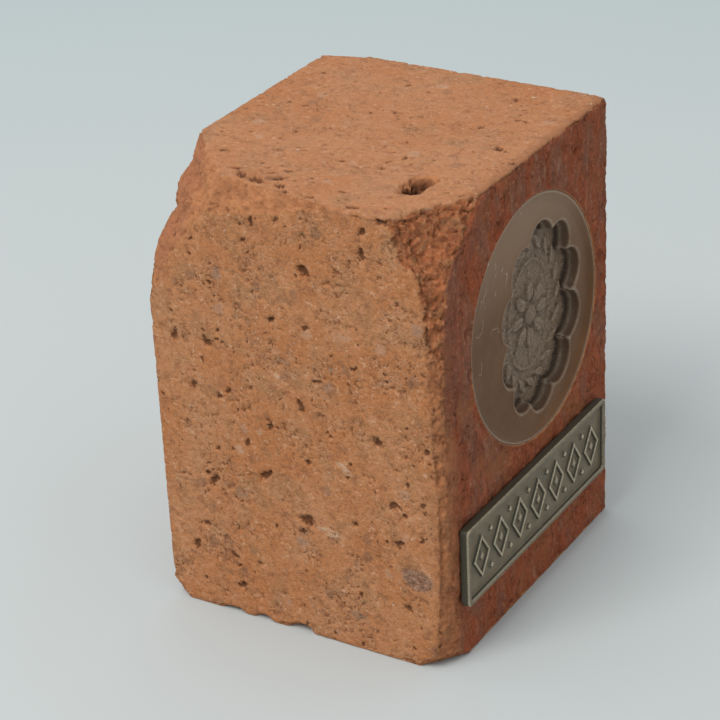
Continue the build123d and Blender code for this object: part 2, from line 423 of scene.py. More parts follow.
def placed_pits(tree, warped, ragged):
    """The pores that catch the eye, each at its own place, and the rough bottom of the pit in the top."""
    rows = []
    for x, z, long, short, lean in sawn_pores:
        rows.append(((x, sawn_y, z), long, short, (cos(radians(lean)), 0, sin(radians(lean)))))
    for x, y, long, short, lean in top_pores:
        rows.append(((x, y, brick_height), long, short, (cos(radians(lean)), sin(radians(lean)), 0)))
    bottom = (*top_pit, brick_height - top_pit_depth)
    rows.append((bottom, top_pit_half_length, top_pit_half_width, (0.1, 1, 0)))
    centres = [[mm * c for c in centre] for centre, _, _, _ in rows]
    holder = mesh_object("placed_pores", centres, [], linked=False)
    values = {
        "radius": [mm * short for _, _, short, _ in rows],
        "stretch": [1 - (short / long) ** 2 for _, long, short, _ in rows],
    }
    for name, row in values.items():
        holder.data.attributes.new(name, "FLOAT", "POINT").data.foreach_set("value", row)
    ways = holder.data.attributes.new("long_way", "FLOAT_VECTOR", "POINT")
    ways.data.foreach_set("vector", [c for _, _, _, way in rows for c in way])
    points = node_in(tree, "GeometryNodeObjectInfo", {"Object": holder}).outputs["Geometry"]
    return pits_from(tree, points, warped, ragged)


def clay_surface_tree():
    """Pits, grain and wear on the remeshed block. Every move is inwards, so it stays in its solid's box."""
    sizes = {
        "Sawn grain": 0.20, "Skin grain": 0.20, "Skin dents": 0.80, "Torn depth": 0.55,
        "Break lumps": 1.4, "Break crevices": 0.35, "Edge loss": 3.4, "Pit depth": 0.9,
    }
    tree, given, result = mesh_tree("clay_surface", sizes)
    mesh = given["Geometry"]
    position = node_in(tree, "GeometryNodeInputPosition").outputs[0]
    normal = node_in(tree, "GeometryNodeInputNormal").outputs[0]
    place = scaled(position, 1 / mm)
    spot, facing = split(place), split(normal)
    square = highest(*(maths("ABSOLUTE", way) for way in facing))

    # Where the medallion's pocket is, which stays as it is, where the block is broken and where it has skin
    u = maths("SUBTRACT", spot[1], pocket_centre[0])
    v = maths("SUBTRACT", spot[2], pocket_centre[1])
    lean = (cos(pocket_lean), sin(pocket_lean))
    long_u, long_v = (product(value, part / pocket_long) for value, part in zip((u, v), lean))
    short_v, short_u = (product(value, part / pocket_short) for value, part in zip((v, u), lean))
    long_part = total(long_u, long_v)
    short_part = maths("SUBTRACT", short_v, short_u)
    squares = total(product(long_part, long_part), product(short_part, short_part))
    in_pocket = ramp(maths("SQRT", squares), 1.005, 1.035, 1.0, 0.0)
    in_pocket = product(in_pocket, ramp(spot[0], 20.0, 21.0))
    free = maths("SUBTRACT", 1.0, in_pocket)
    broken = product(ramp(square, 0.90, 0.985, 1.0, 0.0), free)
    skin = product(ramp(facing[0], 0.80, 0.97), ramp(spot[0], 32.0, 33.0))
    mesh = stored(mesh, "clay_place", place, "FLOAT_VECTOR")
    mesh = stored(mesh, "free", free)
    mesh = stored(mesh, "skin", blurred(skin, 2))
    wander = linear(noise_of(shifted(place, 0.4, 2.0), 0.30, 5.0, 0.68), 2.6, -1.3)
    wide = blurred(broken, 18)
    wander = product(wander, ramp(wide, 0.02, 0.20), ramp(wide, 1.0, 0.8))
    mesh = stored(mesh, "broken", ramp(total(wide, wander), 0.36, 0.60))
    mesh = stored(mesh, "near_break", ramp(blurred(broken, 50), 0.30, 0.55))

    # The ridges between the facets of the break are eased first
    soft = blurred(position, 34, "FLOAT_VECTOR")
    wires = {0: carried(tree, "near_break"), 4: position, 5: soft}
    eased = node("ShaderNodeMix", wires, data_type="VECTOR").outputs[1]
    mesh = node("GeometryNodeSetPosition", {"Geometry": mesh, "Position": eased}).outputs[0]

    place = carried(tree, "clay_place", "FLOAT_VECTOR")
    broken, skin, free = (carried(tree, name) for name in ("broken", "skin", "free"))
    spot = split(place)
    warped = scaled(shifted(shifted(place, 0.7, 1.8), 2.1, 0.9), mm)
    ragged = linear(noise_of(place, 1.7, 4.0, 0.7), 2.4, -1.2)

    # Pits: two sizes strewn over the whole block, and the ones that have their own places
    thick = ramp(noise_of(place, 0.06, 2.0), 0.38, 0.62, 0.45, 1.7)
    pit_parts = [
        strewn_pits(tree, mesh, warped, ragged, product(thick, 2200.0), 0.6, 1.0, 3),
        strewn_pits(tree, mesh, warped, ragged, product(thick, 26000.0), 0.30, 0.66, 8),
        placed_pits(tree, warped, ragged),
    ]
    pit_metres, pit_share = (highest(*parts) for parts in zip(*pit_parts))
    open_share = product(linear(skin, -0.8, 1.0), free)
    pit_share = product(pit_share, open_share)
    pit_metres = product(pit_metres, open_share, given["Pit depth"])

    # Grain: torn patches on the sawn faces, streaks and dents on the skin, lumps on the breaks
    patch, torn = torn_clay(place)
    crevice = ramp(torn, 0.52, 0.66)
    sawn_torn = product(crevice, linear(patch, 0.8, 0.2), given["Torn depth"])
    sawn_grain = product(noise_of(place, 1.1, 4.0, 0.62), given["Sawn grain"])
    sawn_grain = total(sawn_grain, sawn_torn)
    streaks = noise_of(scaled(place, (1.0, 1.0, 0.22)), 0.9, 4.0, 0.6)
    dents = ramp(noise_of(shifted(place, 0.2, 3.0), 0.20, 5.0, 0.62), 0.38, 0.68)
    skin_torn = product(crevice, patch, given["Torn depth"])
    dents = product(dents, given["Skin dents"])
    skin_grain = total(product(streaks, given["Skin grain"]), dents, skin_torn)
    spalled = ramp(spot[0], 15.0, 22.0, 0.75, 1.0)
    lumps = ramp(noise_of(shifted(place, 0.3, 2.4), 0.36, 6.0, 0.62), 0.32, 0.70)
    break_torn = product(crevice, given["Break crevices"])
    rough = total(product(lumps, given["Break lumps"]), break_torn)
    rough = product(rough, spalled, ramp(spot[2], 62.0, 82.0, 0.62, 1.0))
    wires = {0: skin, 2: sawn_grain, 3: skin_grain}
    grain = node("ShaderNodeMix", wires, data_type="FLOAT").outputs[0]
    grain = node("ShaderNodeMix", {0: broken, 2: grain, 3: rough}, data_type="FLOAT").outputs[0]

    # Chips along the arrises, more of them where the top meets the moulded face
    turned = vectors("LENGTH", blurred(normal, 7, "FLOAT_VECTOR"))
    edge = maths("SUBTRACT", 1.0, turned)
    chip_noise = noise_of(shifted(place, 0.5, 1.5), 0.24, 5.0, 0.66)
    upper_arris = product(ramp(spot[0], 30.0, 33.0), ramp(spot[2], 96.0, 98.5))
    more_chips = product(ramp(chip_noise, 0.38, 0.60), upper_arris)
    chips = highest(ramp(chip_noise, 0.50, 0.74), more_chips)
    grain = total(grain, product(edge, chips, given["Edge loss"]))

    # The foot stays flat
    upright = ramp(facing[2], -0.9, -0.6)
    standing = highest(upright, ramp(spot[2], 0.3, 0.8))
    depth = total(product(pit_metres, standing), product(grain, standing, free, mm))

    mesh = stored(mesh, "pit", pit_share)
    mesh = stored(mesh, "hollow", lumps)
    offset = scaled(normal, product(depth, -1.0))
    moved = node("GeometryNodeSetPosition", {"Geometry": mesh, "Offset": offset}).outputs[0]
    tree.links.new(moved, result[0])
    return tree


def cells_of(where, scale):
    """How far a point is from the middle of its cell, and three random numbers of that cell."""
    cells = node("ShaderNodeTexVoronoi", {"Vector": where, "Scale": scale}).outputs
    return cells["Distance"], node("ShaderNodeSeparateColor", {0: cells["Color"]}).outputs


def reach_from(where, centre, shares):
    """How far a point lies from a centre, with a share of its own for each way."""
    return vectors("LENGTH", scaled(vectors("SUBTRACT", where, centre), shares))


def fired_clay():
    """Orange sawn clay and a darker moulded skin with grit and grog, and painted shade in its pores and
    crevices.
    """
    material, tree, shader = new_material("fired_clay")
    place = painted(tree, "clay_place", "Vector")
    pit, broken, skin, hollow = (painted(tree, name) for name in ("pit", "broken", "skin", "hollow"))
    spot = split(place)
    crumbling = linear(noise_of(place, 0.55, 5.0, 0.7), 1.0, -0.5)
    skin = ramp(total(skin, crumbling), 0.35, 0.62)
    turns_in = ramp(linear(crumbling, 3.0, spot[1]), -35.7, -34.3)
    turns_in = product(turns_in, ramp(spot[2], 84.0, 76.0), ramp(spot[0], 30.4, 31.4))
    skin = highest(skin, product(turns_in, broken))
    broken = product(broken, linear(turns_in, -0.75, 1.0))
    on_top = ramp(spot[2], 98.6, 99.6)
    calm = linear(on_top, -0.45, 1.0)
    patch, torn = torn_clay(place)
    clouds = noise_of(place, 0.055, 4.0, 0.6)
    other_clouds = noise_of(shifted(place, 0.1, 9.0), 0.11, 3.0, 0.6)
    patches = noise_of(place, 0.42, 5.0, 0.68)
    blotch = noise_of(shifted(place, 0.35, 2.8), 0.25, 4.0, 0.6)
    crumbs = noise_of(shifted(place, 0.9, 1.8), 0.85, 4.0, 0.7)
    flecks = noise_of(shifted(place, 0.7, 1.4), 1.25, 4.0, 0.72)
    sand = noise_of(place, 3.0, 3.0, 0.75)
    torn_share = product(linear(patch, 0.46, 0.24), calm)

    # The sawn faces: pink, orange and olive clouds, crevices darkened with painted shade, a pale painted
    # highlight along their rims, and sand. The top is calmer, with a brown, crumbly band where it meets the
    # moulded face.
    sawn = mixed(ramp(clouds, 0.36, 0.64), (0.483, 0.185, 0.067), (0.522, 0.229, 0.100))
    sawn = washed(sawn, [
        (other_clouds, 0.52, 0.68, 0.7, (0.385, 0.185, 0.081)),
        (patches, 0.52, 0.67, 0.85, (0.335, 0.132, 0.059)),
        (patches, 0.45, 0.30, 0.55, (0.57, 0.285, 0.150)),
        (blotch, 0.57, 0.68, 0.55, (0.290, 0.148, 0.070), calm),
        (blotch, 0.40, 0.32, 0.45, (0.550, 0.262, 0.140)),
        # Painted shade in the crevices, and a painted highlight as a pale rim along them
        (torn, 0.53, 0.63, 1.0, (0.190, 0.072, 0.032), torn_share),
        (torn, 0.45, 0.505, 1.0, (0.64, 0.36, 0.21), ramp(torn, 0.54, 0.51), torn_share, 0.8),
        (crumbs, 0.43, 0.33, 0.7, (0.66, 0.375, 0.225)),
        (crumbs, 0.57, 0.67, 0.6, (0.265, 0.112, 0.050), calm),
        (flecks, 0.60, 0.74, 0.6, (0.20, 0.078, 0.038), calm),
        (flecks, 0.38, 0.26, 0.6, (0.60, 0.33, 0.19)),
        (sand, 0.56, 0.78, 0.5, (0.22, 0.085, 0.04), calm),
        (sand, 0.42, 0.22, 0.55, (0.62, 0.36, 0.21)),
        (spot[2], 98.6, 99.6, 0.16, (0.260, 0.150, 0.110)),
        (linear(crumbling, 3.5, spot[0]), 30.6, 33.4, 0.65, (0.300, 0.128, 0.060), on_top),
    ])

    # The moulded face: dull red under a thin grey-brown bloom, with short upright slits and streaks, and
    # duskier towards the broken arris
    slits = noise_of(scaled(shifted(place, 0.5, 0.8), (1.0, 1.0, 0.24)), 1.5, 4.0, 0.7)
    bloom = noise_of(scaled(place, (1.0, 1.0, 0.35)), 0.22, 5.0, 0.62)
    streaked = scaled(shifted(place, 0.4, 1.2), (1.0, 1.0, 0.16))
    streaked = noise_of(streaked, 0.9, 4.0, 0.7)
    warm = noise_of(shifted(place, 0.2, 4.0), 0.10, 4.0, 0.65)
    skin_colour = mixed(ramp(patches, 0.38, 0.66), (0.360, 0.091, 0.036), (0.276, 0.074, 0.032))
    skin_colour = washed(skin_colour, [
        (bloom, 0.46, 0.66, 0.7, (0.235, 0.108, 0.068)),
        (slits, 0.55, 0.69, 0.85, (0.070, 0.024, 0.014)),
        (slits, 0.40, 0.26, 0.45, (0.40, 0.150, 0.078)),
        (spot[2], 50.0, 66.0, 0.55, (0.215, 0.090, 0.060), ramp(spot[1], -24.0, -32.0)),
        (streaked, 0.56, 0.70, 0.75, (0.385, 0.195, 0.130)),
        (streaked, 0.44, 0.32, 0.7, (0.135, 0.040, 0.023)),
        (warm, 0.54, 0.66, 0.6, (0.345, 0.130, 0.052)),
        # Painted shade in the crevices
        (torn, 0.54, 0.64, 1.0, (0.095, 0.032, 0.018), torn_share),
        (torn, 0.44, 0.36, 0.6, (0.44, 0.190, 0.110)),
    ])

    # The breaks: the corner is ochre like the sawn faces, the spalled arris is redder and darker
    red_from = ramp(spot[2], 97.0, 99.0, 15.0, 21.0)
    spalled = ramp(maths("SUBTRACT", spot[0], red_from), 0.0, 6.0)
    spall = mixed(ramp(patches, 0.40, 0.62), (0.405, 0.138, 0.055), (0.260, 0.086, 0.037))
    spall = washed(spall, [
        (torn, 0.47, 0.38, 0.7, (0.50, 0.225, 0.108)),
        (blotch, 0.52, 0.62, 0.65, (0.265, 0.128, 0.060)),
    ])
    ochre = mixed(ramp(patches, 0.40, 0.62), (0.49, 0.212, 0.092), (0.385, 0.160, 0.072))
    reddest = product(spalled, ramp(spot[2], 60.0, 82.0, 0.45, 1.0))
    broken_colour = washed(mixed(reddest, ochre, spall), [
        (spot[0], -23.0, -28.0, 0.5, (0.345, 0.130, 0.070), ramp(spot[2], 76.0, 83.0)),
        # Painted shade in the crevices and in the hollows between the lumps
        (torn, 0.54, 0.66, 0.4, (0.150, 0.052, 0.022)),
        (hollow, 0.60, 1.0, 0.42, (0.16, 0.055, 0.023), linear(spalled, 0.8, 0.2)),
        (sand, 0.55, 0.78, 0.5, (0.17, 0.06, 0.027)),
        (sand, 0.44, 0.25, 0.45, (0.55, 0.27, 0.14)),
    ])

    # The skin is worn off beside the broken arris, and the sawn face is as red as the break there
    worn_from = ramp(spot[2], 46.0, 62.0, 0.0, 3.4)
    worn_skin = total(linear(crumbling, 9.0, spot[1]), worn_from)
    worn_skin = product(ramp(worn_skin, -28.5, -34.0, 0.0, 0.8), ramp(spot[0], 20.0, 30.0))
    skin_colour = mixed(worn_skin, skin_colour, broken_colour)
    beside_arris = ramp(linear(crumbling, 4.0, spot[0]), 29.5, 33.0, 0.0, 0.6)
    beside_arris = product(beside_arris, ramp(spot[1], -34.0, -36.0))
    sawn = mixed(beside_arris, sawn, broken_colour)
    colour = mixed(skin, sawn, skin_colour)
    colour = mixed(broken, colour, broken_colour)

    # Grog and grit: dusky and pale crumbs of older clay, red grains and a few white ones
    open_clay = maths("SUBTRACT", 1.0, highest(skin, broken))
    grog, grog_pick = cells_of(shifted(shifted(place, 0.5, 2.2), 1.8, 1.0), 0.24)
    grog = product(ramp(grog, 0.28, 0.38, 1.0, 0.0), open_clay)
    dusky = mixed(ramp(sand, 0.4, 0.62), (0.32, 0.165, 0.095), (0.185, 0.085, 0.052))
    grains, grain_pick = cells_of(shifted(place, 1.2, 0.7), 0.8)
    grains = product(ramp(grains, 0.10, 0.26, 1.0, 0.0), open_clay)
    colour = washed(colour, [
        (grog_pick[1], 0.945, 0.95, 0.5, dusky, grog),
        (grog_pick[0], 0.93, 0.94, 0.45, (0.50, 0.30, 0.20), grog),
        (grain_pick[1], 0.90, 0.92, 0.6, (0.33, 0.085, 0.035), grains),
        (grain_pick[0], 0.972, 0.98, 0.75, (0.62, 0.48, 0.36), grains),
    ])

    # The crumbs that catch the eye on the sawn face
    strayed = shifted(shifted(place, 0.6, 1.6), 2.4, 0.7)
    crumbly = ramp(flecks, 0.60, 0.46, 0.10, 0.85)
    for x, z, long, short, lean, crumb_colour in sawn_crumbs:
        wires = {"Vector": strayed, "Location": (x, sawn_y, z), "Rotation": (0, -radians(lean), 0)}
        wires["Scale"] = (long, 4, short)
        within = node("ShaderNodeMapping", wires, vector_type="TEXTURE").outputs[0]
        share = product(ramp(vectors("LENGTH", within), 0.6, 1.15, 1.0, 0.0), crumbly)
        colour = mixed(share, colour, crumb_colour)

    # One crumb of burnt stone low on the sawn face, purple-grey with white grains
    stone_place = shifted(shifted(place, 0.4, 3.0), 1.6, 1.2)
    stone = reach_from(stone_place, burnt_stone, (0.25, 0.3, 0.37))
    stone_colour = mixed(ramp(flecks, 0.42, 0.60), (0.36, 0.215, 0.150), (0.120, 0.062, 0.044))
    stone_colour = mixed(ramp(sand, 0.36, 0.28), stone_colour, (0.55, 0.46, 0.42))
    colour = mixed(ramp(stone, 0.70, 1.10, 0.80, 0.0), colour, stone_colour)

    # Painted shade in the pit in the top, and painted shade in the pores
    well = ramp(reach_from(strayed, (*top_pit, brick_height), (0.32, 0.20, 0.1)), 1.05, 0.6)
    well = product(well, ramp(spot[2], 99.9, 99.4), ramp(torn, 0.36, 0.52, 0.45, 0.95))
    colour = mixed(well, colour, (0.165, 0.062, 0.028))
    pore_shade = ramp(total(pit, product(flecks, 0.6)), 0.42, 1.05, 0.0, 0.78)
    colour = mixed(pore_shade, colour, (0.100, 0.036, 0.016))

    crevices = product(torn, linear(patch, -1.2, -1.2))
    height = total(crevices, product(flecks, -1.0), product(sand, -0.5))
    height = product(height, linear(highest(broken, on_top), -0.35, 1.0))
    relief = bumped(height, 0.85, 0.55)
    wires = {"Base Color": colour, "Roughness": 0.92, "Specular IOR Level": 0.2, "Normal": relief}
    wired(shader, wires)
    return material


def coated(piece, material):
    """Smooths the piece's shading and gives it its one material."""
    piece.data.shade_smooth()
    piece.data.materials.clear()
    piece.data.materials.append(material)


brick = remeshed(copied_mesh("brick_block", "old_brick"), brick_voxel)
with_tree(brick, clay_surface_tree(), {})
thinned(brick, brick_triangles)
low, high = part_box("brick_block")
points = np.empty(len(brick.data.vertices) * 3, np.float32)
brick.data.vertices.foreach_get("co", points)
kept = np.clip(points.reshape(-1, 3), np.array(low), np.array(high)).astype(np.float32)
brick.data.vertices.foreach_set("co", kept.ravel())
brick.data.update()
coated(brick, fired_clay())
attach(brick, "root")
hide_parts("brick_block")

# The medallion: one smooth cast disc, a little oval, glued into a pocket in the moulded face. Its margin is
# dished and runs up to a thin lip at the brick's face. Its scalloped field is sunk, with a rosette inside a
# beaded oval and a wreath of leaves, all in low relief in the same casting.
margin_depth = 1.1  # below the moulded face
margin_waves = 0.05
lip_depth = 0.12
lip_width = 0.35
run_up_width = 1.9
field_aside, field_drop = 4.6, 1.9
field_half_width, field_half_height = 12.6, 16.1
lobe_count = 10
lobe_radius = 5.4
field_depth = 2.6
wall_width = 0.8
edge_rise = 0.16  # of the margin where it breaks into the field
edge_middle, edge_spread = 0.45, 0.4
pocket_floor = 6.0
cast_voxel = 0.17 * mm
cast_triangles = 150000


def inside_field(across, height):
    """How far inside the scalloped outline each point lies, in mm from the middle of the field."""
    reach = (1 - np.hypot(across / field_half_width, height / field_half_height)) * field_half_width
    for lobe in range(lobe_count):
        angle = 2 * pi * (lobe + 0.5) / lobe_count
        to_middle = np.hypot(across - field_half_width * cos(angle), height - field_half_height * sin(angle))
        reach = np.maximum(reach, lobe_radius - to_middle)
    return reach


def eased_step(value):
    """A smooth step from 0 to 1 as the value goes from 0 to 1."""
    share = np.clip(value, 0, 1)
    return share * share * (3 - 2 * share)


def ring_faces(loops, length):
    """The four-cornered faces that join each loop of vertices to the next."""
    faces = []
    for start in range(0, (loops - 1) * length, length):
        for step in range(length):
            here, following = start + step, start + (step + 1) % length
            faces.append((here, following, following + length, here + length))
    return faces


def end_caps(loops, length):
    """The two faces that close the first and the last loop of vertices."""
    last = (loops - 1) * length
    return [tuple(range(length - 1, -1, -1)), tuple(range(last, last + length))]


def cast_disc():
    """The disc itself: its front as rings of points at their own depths, its side and its flat back."""
    ring_count, ring_points = 150, 540
    around = np.linspace(0, 2 * pi, ring_points, endpoint=False)
    loops = []
    for ring in range(1, ring_count + 1):
        share = ring / ring_count
        long_way, short_way = share * pocket_long * np.cos(around), share * pocket_short * np.sin(around)
        u = long_way * cos(pocket_lean) - short_way * sin(pocket_lean)
        v = long_way * sin(pocket_lean) + short_way * cos(pocket_lean)
        from_edge = (1 - share) * (pocket_long + pocket_short) / 2
        climb = eased_step(np.array((from_edge - lip_width) / run_up_width)) ** 0.6
        depth = lip_depth + (margin_depth - lip_depth) * climb
        depth = depth + margin_waves * climb * (np.sin(0.33 * u + 0.9) + np.sin(0.41 * v - 0.21 * u))
        inside = inside_field(u - field_aside, v + field_drop)
        depth = depth - edge_rise * np.exp(-(((inside + edge_middle) / edge_spread) ** 2))
        depth = depth + field_depth * eased_step((inside + 0.1) / wall_width)
        loops.append(np.stack([moulded_x - depth, pocket_centre[0] + u, pocket_centre[1] + v], 1))
    edge = loops[-1].copy()
    edge[:, 0] = moulded_x - pocket_floor
    loops.append(edge)
    faces = ring_faces(len(loops), ring_points) + end_caps(len(loops), ring_points)
    return mesh_object("cast_medallion", np.concatenate(loops) * mm, faces)


def leaf_shape(name, length, width, height, pointed):
    """A domed leaf with a groove along its middle, on its back in the XY plane, point towards +X."""
    rows, columns = 17, 9
    s = np.linspace(-1, 1, rows)[:, None]
    t = np.linspace(-1, 1, columns)[None, :]
    half_width = width / 2 * np.maximum(1 - np.abs(s) ** pointed, 0.02)
    rise = height * (1 - t**4) * (1 - s**4) - 0.3 * height * np.exp(-((t / 0.22) ** 2)) * (1 - s**2)
    x = np.broadcast_to(s * length / 2, (rows, columns))
    top = np.stack([x, t * half_width, rise], 2).reshape(-1, 3)
    bottom = top.copy()
    bottom[:, 2] = -0.3
    vertices = np.concatenate([top, bottom]) * mm
    count = rows * columns
    faces = []
    for row in range(rows - 1):
        for column in range(columns - 1):
            a = row * columns + column
            faces.append((a, a + columns, a + columns + 1, a + 1))
            faces.append((count + a, count + a + 1, count + a + columns + 1, count + a + columns))
    border = [row * columns for row in range(rows)]
    border += [(rows - 1) * columns + column for column in range(1, columns)]
    border += [row * columns + columns - 1 for row in range(rows - 2, -1, -1)]
    border += list(range(columns - 2, 0, -1))
    for first, second in zip(border, border[1:] + border[:1]):
        faces.append((first, second, count + second, count + first)[::-1])
    return mesh_object(name, vertices, faces, linked=False)


def instances_on(tree, shape, count, place, turn):
    """The shape at each of a row of points, whose places and turns are worked out from their numbers."""
    points = node("GeometryNodePoints", {"Count": count, "Position": place}).outputs[0]
    rotation = node_in(tree, "ShaderNodeCombineXYZ", {2: turn}).outputs[0]
    if not isinstance(shape, bpy.types.NodeSocket):
        shape = node_in(tree, "GeometryNodeObjectInfo", {"Object": shape}).outputs["Geometry"]
    wires = {"Points": points, "Instance": shape, "Rotation": rotation}
    return node("GeometryNodeInstanceOnPoints", wires).outputs[0]


def ring_of(tree, shape, count, half_width, half_height, turn, outwards):
    """The shape repeated round an oval, turned from its line, or pointing straight out from the middle."""
    number = node_in(tree, "GeometryNodeInputIndex").outputs[0]
    angle = maths("DIVIDE", product(number, 2 * pi), count)
    cosine, sine = maths("COSINE", angle), maths("SINE", angle)
    across, height = product(cosine, half_width), product(sine, half_height)
    place = scaled(node("ShaderNodeCombineXYZ", {0: across, 1: height}).outputs[0], mm)
    if outwards:
        return instances_on(tree, shape, count, place, total(angle, turn))
    climb, run = product(cosine, half_height), product(sine, -half_width)
    line = maths("ARCTAN2", climb, run)
    return instances_on(tree, shape, count, place, maths("SUBTRACT", line, turn))


def dome(tree, radius, height):
    """A low dome on the XY plane."""
    wires = {"Segments": 32, "Rings": 16, "Radius": radius * mm}
    ball = node_in(tree, "GeometryNodeMeshUVSphere", wires).outputs[0]
    wires = {"Geometry": ball, "Scale": (1.0, 1.0, height / radius)}
    return node("GeometryNodeTransform", wires).outputs[0]


def joined(tree, parts):
    """Several parts as one."""
    join = node_in(tree, "GeometryNodeJoinGeometry")
    for part in parts:
        tree.links.new(part, join.inputs[0])
    return join.outputs[0]


def faced_out(tree, parts, centre):
    """Joins parts drawn in the XY plane and stands them on the moulded face round a centre in mm."""
    real = node("GeometryNodeRealizeInstances", {"Geometry": joined(tree, parts)}).outputs[0]
    middle, turn = tuple(mm * c for c in centre), (pi / 2, 0.0, pi / 2)
    wires = {"Geometry": real, "Translation": middle, "Rotation": turn}
    return node("GeometryNodeTransform", wires).outputs[0]


def with_body(tree, given, result, relief, material):
    """Joins the relief to the piece it belongs to and gives both their material."""
    wires = {"Geometry": joined(tree, [given["Geometry"], relief]), "Material": material}
    tree.links.new(node("GeometryNodeSetMaterial", wires).outputs[0], result[0])


def medallion_relief_tree(material):
    """The rosette, the beaded oval round it and the wreath, in the sunk field."""
    sizes = {"Leaves": 20, "Leaf turn": radians(38), "Petals": 8, "Beads": 58}
    tree, given, result = mesh_tree("medallion_relief", sizes)
    leaf = leaf_shape("leaf", 5.4, 2.3, 0.75, 1.7)
    petal = leaf_shape("petal", 5.4, 3.3, 0.85, 2.6)
    parts = [
        ring_of(tree, leaf, given["Leaves"], 12.4, 15.8, given["Leaf turn"], False),
        ring_of(tree, petal, given["Petals"], 5.3, 5.3, 0.0, True),
        ring_of(tree, dome(tree, 0.52, 0.55), given["Beads"], 9.0, 12.2, 0.0, False),
        ring_of(tree, dome(tree, 0.5, 0.45), given["Petals"], 7.9, 9.4, radians(22.5), True),
        dome(tree, 2.4, 1.2),
    ]
    field_bottom = moulded_x - margin_depth - field_depth
    centre = (field_bottom, pocket_centre[0] + field_aside, pocket_centre[1] - field_drop)
    with_body(tree, given, result, faced_out(tree, parts, centre), material)
    return tree


def hollows_tree(reach):
    """Rounds a casting, roughens its sunk part, and stores how far each point lies below what is round it."""
    tree, given, result = mesh_tree("hollows", {"Rounding": 2, "Roughness": 0.0})
    position = node_in(tree, "GeometryNodeInputPosition").outputs[0]
    rounded = blurred(position, given["Rounding"], "FLOAT_VECTOR")
    wires = {"Geometry": given["Geometry"], "Position": rounded}
    mesh = node("GeometryNodeSetPosition", wires).outputs[0]
    outwards = split(position)[0]
    front = split(node_in(tree, "GeometryNodeInputNormal").outputs[0])[0]
    place = scaled(position, 1 / mm)
    fine = product(noise_of(place, 1.3, 4.0, 0.65), 0.6)
    uneven = total(noise_of(place, 0.32, 3.0, 0.6), fine)
    smooth_above, rough_below = (moulded_x - 1.5) * mm, (moulded_x - 2.6) * mm
    low_share = ramp(outwards, smooth_above, rough_below)
    sunk = product(low_share, ramp(front, 0.2, 0.5))
    inwards = product(uneven, sunk, given["Roughness"], -mm)
    offset = node("ShaderNodeCombineXYZ", {0: inwards}).outputs[0]
    mesh = node("GeometryNodeSetPosition", {"Geometry": mesh, "Offset": offset}).outputs[0]
    level = blurred(outwards, reach)
    below = product(maths("SUBTRACT", level, outwards), 1 / mm)
    mesh = stored(mesh, "below", below)
    tree.links.new(stored(mesh, "facing", front), result[0])
    return tree


def place_in_mm(tree):
    """The place on the object, in mm."""
    return scaled(node_in(tree, "ShaderNodeTexCoord").outputs["Object"], 1 / mm)


def cast_taupe():
    """Smooth grey-brown casting with a low sheen, painted shade and highlights, and hair scratches on its
    margin.
    """
    material, tree, shader = new_material("cast_medallion")
    place = place_in_mm(tree)
    below = painted(tree, "below")
    spot = split(place)
    clouds = noise_of(place, 0.09, 3.0)
    fine = noise_of(place, 1.8, 4.0, 0.65)
    margin = mixed(ramp(clouds, 0.35, 0.68), (0.125, 0.058, 0.025), (0.160, 0.077, 0.035))
    # Paler towards the top of the margin: a painted sheen
    margin = mixed(ramp(spot[2], 64.0, 90.0, 0.0, 0.8), margin, (0.275, 0.172, 0.106))
    field = mixed(ramp(fine, 0.35, 0.7), (0.158, 0.105, 0.070), (0.250, 0.176, 0.124))
    # A patchy share for the painted highlight on the raised edges
    pale_share = ramp(fine, 0.66, 0.42, 0.25, 0.6)
    colour = washed(margin, [
        (spot[0], 32.6, 31.0, 1.0, field),
        # Painted shade on the walls and in the hollows, and a painted highlight on the raised edges
        (painted(tree, "facing"), 0.90, 0.45, 0.6, (0.060, 0.038, 0.026)),
        (below, 0.0, 0.26, 0.85, (0.040, 0.028, 0.020)),
        (below, -0.03, -0.17, 1.0, (0.36, 0.285, 0.215), pale_share),
    ])
    thread = noise_of(shifted(place, 0.3, 3.0), 0.16, 1.0)
    hair = maths("ABSOLUTE", maths("SUBTRACT", thread, 0.5))
    broken_off = ramp(noise_of(place, 0.22, 2.0), 0.52, 0.60)
    upper_left = product(ramp(spot[1], 4.0, -6.0), ramp(spot[2], 56.0, 66.0))
    hair = product(ramp(hair, 0.0016, 0.0042, 1.0, 0.0), broken_off)
    hair = product(hair, linear(upper_left, 0.92, 0.06))
    colour = mixed(hair, colour, (0.62, 0.56, 0.48))
    sheen = ramp(fine, 0.3, 0.7, 0.36, 0.50)
    relief = bumped(fine, 0.25, 0.08)
    wires = {"Base Color": colour, "Roughness": sheen, "Specular IOR Level": 0.12, "Normal": relief}
    wired(shader, wires)
    return material


taupe = cast_taupe()
medallion = cast_disc()
with_tree(medallion, medallion_relief_tree(taupe), {})
remeshed(medallion, cast_voxel)
with_tree(medallion, hollows_tree(reach=26), {"Rounding": 5, "Roughness": 0.85})
thinned(medallion, cast_triangles)
coated(medallion, taupe)
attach(medallion, "root")
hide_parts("medallion")

# The plate: one small casting in brass, bonded flat on the moulded face under the medallion. A raised rim
# runs round a sunk field with a band of lozenges and studs. The field has gone dark, and the rim and the
# relief are rubbed, with a painted highlight along their raised edges and painted shade in the corners.
plate_centre = (0.3, 22.55)
plate_length, plate_height = 63.2, 17.9
plate_thickness = 2.0
plate_corner = 0.9
plate_field_depth = 1.0
plate_voxel = 0.15 * mm
plate_triangles = 120000
lozenge_pitch = 8.4
stud_spacing = 8.8


